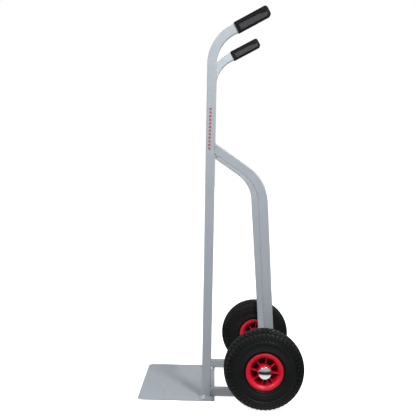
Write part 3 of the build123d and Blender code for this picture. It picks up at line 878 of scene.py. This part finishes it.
def grip_depth(s, a, panel):
    """How far the moulding's pattern goes below the plain surface."""
    shift = np.floor(s * PEBBLE_BANDS) * PEBBLE_SHIFT
    pebble = np.sin(s * PEBBLE_TURN) * np.sin(a * PEBBLE_TURN + shift)
    depth = panel * (PANEL_DEEP + PEBBLE_DEEP * pebble)
    ribbed = between(s, RIBBED_START, RIBBED_END)
    ribs = ribbed * ease(a, *GRIP_RIB_EDGE)
    depth = depth + GRIP_RIB_DEEP * ribs * wave(s, GRIP_RIB_PITCH) ** GRIP_RIB_SHARPNESS
    fingers = ribbed * ease(-a, *FINGER_EDGE)
    depth = depth + FINGER_DEEP * fingers * wave(s, FINGER_PITCH)
    return depth + COLLAR_STEP * ease(s, *COLLAR_EDGE)


def grip_surface(s, a, b, depth):
    """The outside, with its mouth eased and its end rounded."""
    end = np.clip((s - (GRIP_LENGTH - GRIP_END)) / GRIP_END, 0, 1)
    bulge = 1 - np.sqrt(1 - end**2)
    share = END_IN_BOTTOM + (END_IN_TOP - END_IN_BOTTOM) * ease(a, *END_CHANGE)
    inset_a = GRIP_END * bulge * share
    inset_b = GRIP_END * bulge * END_IN_SIDE
    mouth = MOUTH_EASE * (1 - ease(s, 0, MOUTH_DEEP))
    top_or_bottom = np.abs(a) >= GRIP_TALL - ON_FACE
    on_side = np.abs(b) >= GRIP_WIDE - ON_FACE
    aa = a * (GRIP_TALL - depth * top_or_bottom - inset_a - mouth) / GRIP_TALL
    bb = b * (GRIP_WIDE - inset_b - mouth) / GRIP_WIDE - np.sign(b) * depth * on_side
    return np.stack([aa, bb, np.broadcast_to(s, aa.shape)], -1)


def grip_socket(a, b):
    """The socket's rings for the handle's tube, from its floor to the chamfered mouth."""
    half_a, half_b = TUBE_DEEP / 2 + SOCKET_FIT, TUBE_WIDE / 2 + SOCKET_FIT
    shrink = np.minimum(half_a / np.maximum(np.abs(a), TINY), half_b / np.maximum(np.abs(b), TINY))
    ring_a, ring_b = (a * shrink)[0], (b * shrink)[0]
    rings = [np.stack([ring_a, ring_b, np.full_like(ring_a, s)], -1) for s in SOCKET_STATIONS]
    flare_a, flare_b = SOCKET_FLARE
    rings.append(np.stack([ring_a * flare_a, ring_b * flare_b, np.zeros_like(ring_a)], -1))
    return np.stack(rings)


def grip_mesh():
    """Moulded grip along +Z: collar, ribbed back, recessed side panels, rounded end."""
    straight = GRIP_LENGTH - GRIP_END
    s = np.unique(np.concatenate([
        np.linspace(0, MOUTH_LENGTH, MOUTH_ROWS),
        np.linspace(MOUTH_LENGTH, straight, LENGTH_ROWS),
        straight + GRIP_END * np.sin(np.linspace(0, math.pi / 2, END_ROWS)),
    ]))[:, None]
    a, b, on_side = (np.array(column, float)[None, :] for column in zip(*grip_outline()))
    panel = grip_panel(s, a, on_side)
    socket = grip_socket(a, b)
    outside = grip_surface(s, a, b, grip_depth(s, a, panel))
    mesh = grid(np.concatenate([socket, outside]), False, True, True)
    # a face takes the panel's material where all its corners lie on the panel
    lighter = np.concatenate([np.zeros(socket.shape[:2]), panel]) > 0.5
    beside = np.roll(lighter, -1, 1)
    quads = lighter[:-1] & lighter[1:] & beside[:-1] & beside[1:]
    indices = np.zeros(len(mesh.polygons), np.int32)
    indices[: quads.size] = quads.ravel()
    mesh.polygons.foreach_set("material_index", indices)
    return mesh


def grip(side):
    """One grip on its handle, its panels in a lighter material."""
    along = (
        Matrix.Translation((RAIL_MIDDLE, -TUBE_WIDE / 2, HANDLE_CORNER))
        @ Matrix.Rotation(math.pi / 2 - HANDLE_RISE, 4, "Y")
        @ Matrix.Translation((0, 0, GRIP_START))
    )
    # the mesh's first axis points up and forwards, across the handle
    turn = Matrix.Diagonal((-1, 1, 1, 1))
    mesh = grip_mesh()
    mesh.transform(side_place(side) @ along @ turn)
    finish_piece(
        "grip_" + side + "_look", mesh, "frame", "grip_plastic", ["grip_" + side],
        ["grip_plastic", "grip_panel"], smooth=50,
    )


# ---- tyre: radii from the axle, stations from the wheel's middle ------------------
CROWN, WIDEST, HALF_WIDE = 130.0, 94.36, 40.0
TREAD_EDGE, TREAD_EDGE_Y = 123.0, 34.0
TYRE_FOOT, TYRE_FOOT_Y = 60.6, 30.4
BEAD_SEAT, HEEL_EASE = 50.9, 1.2
SHOULDER_ROWS, WALL_ROWS = 26, 22
PITCHES = 54                        # cross grooves round the tread
# places round the tread in one pitch, and which of them lie in the groove
CROSS_PHASES = (-2.7, -2.0, 0.0, 2.0, 2.7, 4.8, 7.0, 9.2)
CROSS_GROOVE = (0, 1, 1, 1, 0, 0, 0, 0)
CROSS_DEEP, RING_DEEP = 2.7, 3.0    # grooves across and round the tread
# station, share of the ring grooves' depth, slant of the cross grooves
TREAD = (
    (0.0, 0, 0.0), (3.5, 0, 2.4), (7.0, 0, 4.8), (9.6, 0, 6.6),
    (10.2, 1, 7.0), (12.0, 1, 8.0), (13.8, 1, 4.0), (14.4, 0, 3.4),
    (17.5, 0, 0.8), (20.5, 0, -1.8), (23.2, 0, -4.0),
    (23.8, 0.9, -4.5), (25.2, 0.9, -6.0), (26.4, 0.9, -7.5), (27.0, 0, -8.2),
    (29.0, 0, -8.8), (31.0, 0, -9.2), (33.0, 0, -9.4),
)
SHOULDER_SLANT = -9.4
LUG_END, LUG_DEEP = 101.6, 2.5      # where the cross grooves run out on the shoulder
LUG_FADE = (-2.0, 4.5)              # from there, over which they reach their full depth
LINE_DEEP, LINE_HALF = 1.8, 0.6     # fine groove round the lugs' ends
RIDGE, RIDGE_HALF = 97.9, 3.4       # rounded ridge inside that groove
WALL_STEP = 94.6                    # the wall steps in below the ridge
WALL_RIBS = ((84.0, 0.8), (75.5, 0.6), (66.5, 1.3))
WALL_RIB_HALF = 1.4
# from the bead's base and toe, over the inside of the wall to the crown
TYRE_INSIDE = (
    (BEAD_SEAT, 29.4), (BEAD_SEAT, 20.0), (66.0, 28.5), (80.0, 33.4), (94.0, 34.4), (108.0, 31.5),
    (116.0, 24.0), (120.0, 12.0), (121.0, 0.0),
)
TyreRow = namedtuple("TyreRow", "radius station normal_r normal_y ring cross slant")


def arc_radius(half_chord, rise):
    """The radius of an arc that rises this much over half its chord."""
    return (half_chord**2 + rise**2) / (2 * rise)


def tread_rows():
    """The crown from its middle to its edge, with its ring and cross grooves."""
    ball = arc_radius(TREAD_EDGE_Y, CROWN - TREAD_EDGE)
    rows = []
    for y, ring, slant in TREAD:
        angle = math.asin(y / ball)
        radius = CROWN - ball * (1 - math.cos(angle))
        rows.append(TyreRow(
            radius, y, math.cos(angle), math.sin(angle), ring * RING_DEEP, CROSS_DEEP, slant
        ))
    return rows


def shoulder_depths(radius):
    """How deep the shoulder lies at a radius: all round, and in the cross grooves."""
    below_lugs = radius <= LUG_END
    line = LINE_DEEP * (LUG_END - LINE_HALF < radius <= LUG_END + LINE_HALF)
    off_ridge = min(abs(radius - RIDGE) / RIDGE_HALF, 1.0)
    ridge = LINE_DEEP * (1 - math.sqrt(1 - off_ridge**2)) * below_lugs
    step = LINE_DEEP * (radius < WALL_STEP)
    start, end = LUG_FADE
    lug = 0.0 if below_lugs else LUG_DEEP * float(ease(radius, LUG_END + start, LUG_END + end))
    return max(line, ridge, step), lug


def shoulder_rows():
    """From the tread's edge to the tyre's widest place."""
    ball = arc_radius(TREAD_EDGE - WIDEST, HALF_WIDE - TREAD_EDGE_Y)
    rows = []
    for k in range(1, SHOULDER_ROWS + 1):
        angle = math.asin((TREAD_EDGE - WIDEST) / ball) * (1 - k / SHOULDER_ROWS)
        radius = WIDEST + ball * math.sin(angle)
        y = HALF_WIDE - ball * (1 - math.cos(angle))
        depths = shoulder_depths(radius)
        rows.append(TyreRow(
            radius, y, math.sin(angle), math.cos(angle), *depths, SHOULDER_SLANT
        ))
    return rows


def wall_rows():
    """From the widest place to the rim, with three raised ribs."""
    ball = arc_radius(WIDEST - TYRE_FOOT, HALF_WIDE - TYRE_FOOT_Y)
    rows = []
    for k in range(1, WALL_ROWS + 1):
        angle = math.asin((WIDEST - TYRE_FOOT) / ball) * k / WALL_ROWS
        radius = WIDEST - ball * math.sin(angle)
        y = HALF_WIDE - ball * (1 - math.cos(angle))
        rib = sum(
            high * math.exp(-(((radius - at) / WALL_RIB_HALF) ** 2)) for at, high in WALL_RIBS
        )
        rows.append(TyreRow(
            radius, y, -math.sin(angle), math.cos(angle), LINE_DEEP - rib, 0, SHOULDER_SLANT
        ))
    return rows


def tyre_mesh():
    """Blocked tread on a round carcass, ribbed walls, beads and the hollow inside."""
    pitch = 2 * math.pi * CROWN / PITCHES
    angle = (np.arange(PITCHES)[:, None] * pitch + np.array(CROSS_PHASES)).ravel() / CROWN
    groove = np.tile(np.array(CROSS_GROOVE, float), PITCHES)

    def outer(row, sign):
        depth = np.maximum(row.ring, groove * row.cross)
        station = sign * (row.station - row.normal_y * depth)
        return turned(row.radius - row.normal_r * depth, station, angle + sign * row.slant / CROWN)

    def inner(radius, y, sign):
        return turned(radius, sign * y, angle + sign * SHOULDER_SLANT / CROWN)

    half = tread_rows() + shoulder_rows() + wall_rows()
    heel = (
        (TYRE_FOOT - HEEL_EASE, TYRE_FOOT_Y),
        (BEAD_SEAT + HEEL_EASE, TYRE_FOOT_Y),
        (BEAD_SEAT, TYRE_FOOT_Y - HEEL_EASE),
    )
    inside = heel + TYRE_INSIDE
    columns = [outer(row, -1) for row in reversed(half)]
    columns += [outer(row, 1) for row in half[1:]]
    columns += [inner(radius, y, 1) for radius, y in inside]
    columns += [inner(radius, y, -1) for radius, y in reversed(inside[:-1])]
    return grid(np.stack(columns, 1))


# ---- rim and valve ---------------------------------------------------------------
RIM_STEPS = 160
# one half of the rim's section: (radius, station, corner's rounding)
RIM_HALF = (
    # hub: bore and boss
    (13.1, 32.2, 0.6), (14.0, 33.0, 0.4), (22.0, 33.0, 1.6),
    # web
    (23.2, 2.5, 2.0), (39.0, 2.5, 3.0),
    # inner face of the barrel, opening towards the flange
    (41.0, 13.0, 3.0), (44.2, 19.5, 3.0), (45.6, 27.0, 3.0),
    # flange
    (53.0, 33.4, 2.2), (58.8, 34.0, 1.4), (60.0, 32.8, 1.0), (60.0, 30.5, 0.8),
    # bead seat and the edge of the well
    (50.8, 30.5, 1.0), (49.8, 19.5, 2.0), (44.0, 13.0, 3.0),
)
RIBS, RIB_PHASE, RIB_SECTIONS = 8, math.radians(-7.0), 12
RIB_START, RIB_END = 20.5, 46.6
RIB_ROOT, RIB_NOSE = 1.45, 0.9      # half thickness at the web, and at the rounded front
RIB_BACK, RIB_FRONT = 3.0, 31.4     # stations of the root and, at the hub, the front edge
RIB_NOSE_POINTS = 9
RIB_FALL, RIB_DIP = 5.2, 2.6        # of the front edge towards the barrel, and between
VALVE_ANGLE = math.radians(-74.5)
# the moulded collar where the valve passes the barrel
VALVE_COLLAR = ((4.4, 0, 0.3), (6.4, 0, 0.5), (7.2, 5.0, 1.0), (4.4, 5.0, 0.3))
VALVE_COLLAR_PLACE, VALVE_COLLAR_STEPS = (36.8, 12.0, 0), 32
CAP_PLACE = (30.0, 18.5, 0)
CAP_TEETH, TOOTH_STEPS, KNURL_DEEP = 24, 6, 0.32
# the cap's section as (radius, station): skirt, domed end, hollow
CAP_OUTLINE = (
    (3.7, 0.4), (5.2, 0.0), (5.5, 0.6), (5.5, 10.5), (5.3, 11.2), (4.6, 12.2), (4.2, 13.2),
    (3.4, 13.9), (1.2, 14.0), (0.05, 14.0), (0.05, 7.0), (3.7, 7.0),
)
CAP_KNURLED = 5.4                   # the skirt beyond this radius is knurled


def rib_mesh():
    """One rib from the boss into the barrel, its front and back edges rounded."""
    half_turn = np.linspace(-math.pi / 2, math.pi / 2, RIB_NOSE_POINTS)
    rows = []
    for r in np.linspace(RIB_START, RIB_END, RIB_SECTIONS):
        share = (r - RIB_START) / (RIB_END - RIB_START)
        high = RIB_FRONT - RIB_FALL * share - RIB_DIP * math.sin(math.pi * share)
        nose = [
            (RIB_NOSE * math.sin(t), high - RIB_NOSE + RIB_NOSE * math.cos(t)) for t in half_turn
        ]
        section = [(-RIB_ROOT, RIB_BACK), *nose, (RIB_ROOT, RIB_BACK)]
        section += [(-x, -y) for x, y in section]
        rows.append([(r, y, x) for x, y in section])
    return bar(rows)


def rim_mesh():
    """Moulded rim with eased corners: barrel, flanges, web, hub boss, ribs, valve collar."""
    other_half = [(r, -y, rounding) for r, y, rounding in reversed(RIM_HALF)]
    shells = [lathe(rounded([*RIM_HALF, *other_half]), RIM_STEPS)]
    for k in range(RIBS):
        rib = rib_mesh()
        rib.transform(Matrix.Rotation(-(RIB_PHASE + 2 * math.pi * k / RIBS), 4, "Y"))
        shells.append(rib)
    collar = lathe(rounded(VALVE_COLLAR, SMALL_STEPS), VALVE_COLLAR_STEPS)
    collar.transform(
        Matrix.Rotation(-VALVE_ANGLE, 4, "Y")
        @ Matrix.Translation(VALVE_COLLAR_PLACE)
        @ Matrix.Rotation(-math.pi / 2, 4, "Z")
    )
    return joined([*shells, collar])


def cap_mesh():
    """Knurled valve cap with a domed end, along +Y."""
    angle = np.linspace(0, 2 * math.pi, CAP_TEETH * TOOTH_STEPS, endpoint=False)
    knurl = KNURL_DEEP * (0.5 + 0.5 * np.cos(angle * CAP_TEETH))
    rows = [turned(r - knurl * (r > CAP_KNURLED), y, angle) for r, y in CAP_OUTLINE]
    return grid(np.stack(rows, 1))


def wheel(side):
    """One wheel's tyre, rim and valve cap; the CAD's tube, valve and bushes stay."""
    place = wheel_place(side)
    cap_place = place @ Matrix.Rotation(-VALVE_ANGLE, 4, "Y") @ Matrix.Translation(CAP_PLACE)
    for kind, mesh, where, slot, smooth in (
        ("tyre", tyre_mesh(), place, "tyre_black", 40),
        ("rim", rim_mesh(), place, "rim_red", 35),
        ("valve_cap", cap_mesh(), cap_place, "black_plastic", 50),
    ):
        node = kind + "_" + side
        mesh.transform(where)
        finish_piece(node + "_look", mesh, "wheel_" + side, slot, [node], smooth=smooth)


# ---- printed marks ---------------------------------------------------------------
MARK_PAIRS, PAIR_PITCH, MARK_APART = 12, 11.3, 3.7
MARK_HALF, MARK_HIGH = 3.7, 1.45    # half the bar's width and height
MARK_LEAN, MARK_CORNER = 0.9, 0.5
MARKS_START = 834.5                 # up the rail
MARKS_AHEAD, MARKS_DRIFT = 3.8, 2.2  # of the rail's middle, and the strip's drift back
# the ink's rows: share of the outline, and height off the paint
INK_ROWS = ((1.0, -0.02), (1.0, 0.05), (0.97, 0.07))


def printed_marks():
    """A strip of plain slanted bars printed on the left rail's outer face."""
    shells = []
    for pair in range(MARK_PAIRS):
        lean = MARK_LEAN if pair % 2 else -MARK_LEAN
        across = RAIL_MIDDLE - MARKS_AHEAD + MARKS_DRIFT * pair / MARK_PAIRS
        corners = [
            (-MARK_HALF, -MARK_HIGH - lean), (MARK_HALF, -MARK_HIGH + lean),
            (MARK_HALF, MARK_HIGH + lean), (-MARK_HALF, MARK_HIGH - lean),
        ]
        outline = rounded([(a, b, MARK_CORNER) for a, b in corners], SMALL_STEPS)
        for second in (0, 1):
            middle = MARKS_START + PAIR_PITCH * pair + MARK_APART * second
            shells.append(bar([
                [(across + a * size, lift, middle + b * size) for a, b in outline]
                for size, lift in INK_ROWS
            ]))
    mesh = joined(shells)
    mesh.transform(side_place("left"))
    finish_piece("printed_marks", mesh, "frame", "rim_red", materials=["red_ink"])


# ---- put it together -------------------------------------------------------------
CROSSBARS = ("crossbar_lower", "crossbar_middle", "crossbar_upper")
EASED = {"foot_flange": 0.7, "axle_bracket": 0.7, "stay": 0.5}
PLATE_EASE = 0.7


def dress_cad_nodes():
    """Gives each CAD node the material of its slot."""
    slots = {part["node"]: part["material_slot"] for part in frame["record"]["subparts"]}
    for name, node in frame["nodes"].items():
        node.data.materials.clear()
        node.data.materials.append(MATERIALS[slots[name]])


camera()
studio()
dress_cad_nodes()
for side in SIDES:
    grip(side)
    wheel(side)
    welds = side_welds()
    welds.transform(side_place(side))
    finish_piece("welds_" + side, welds, "frame", "grey_paint", smooth=WELD_SMOOTH)
    for node, width in EASED.items():
        softened(node + "_" + side, "grey_paint", width)
softened("toe_plate", "grey_paint", PLATE_EASE)
for node in CROSSBARS:
    low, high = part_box(node)
    welds = crossbar_welds((low.z + high.z) / 2 / MM)
    finish_piece(node + "_welds", welds, "frame", "grey_paint", smooth=WELD_SMOOTH)
printed_marks()

low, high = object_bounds()
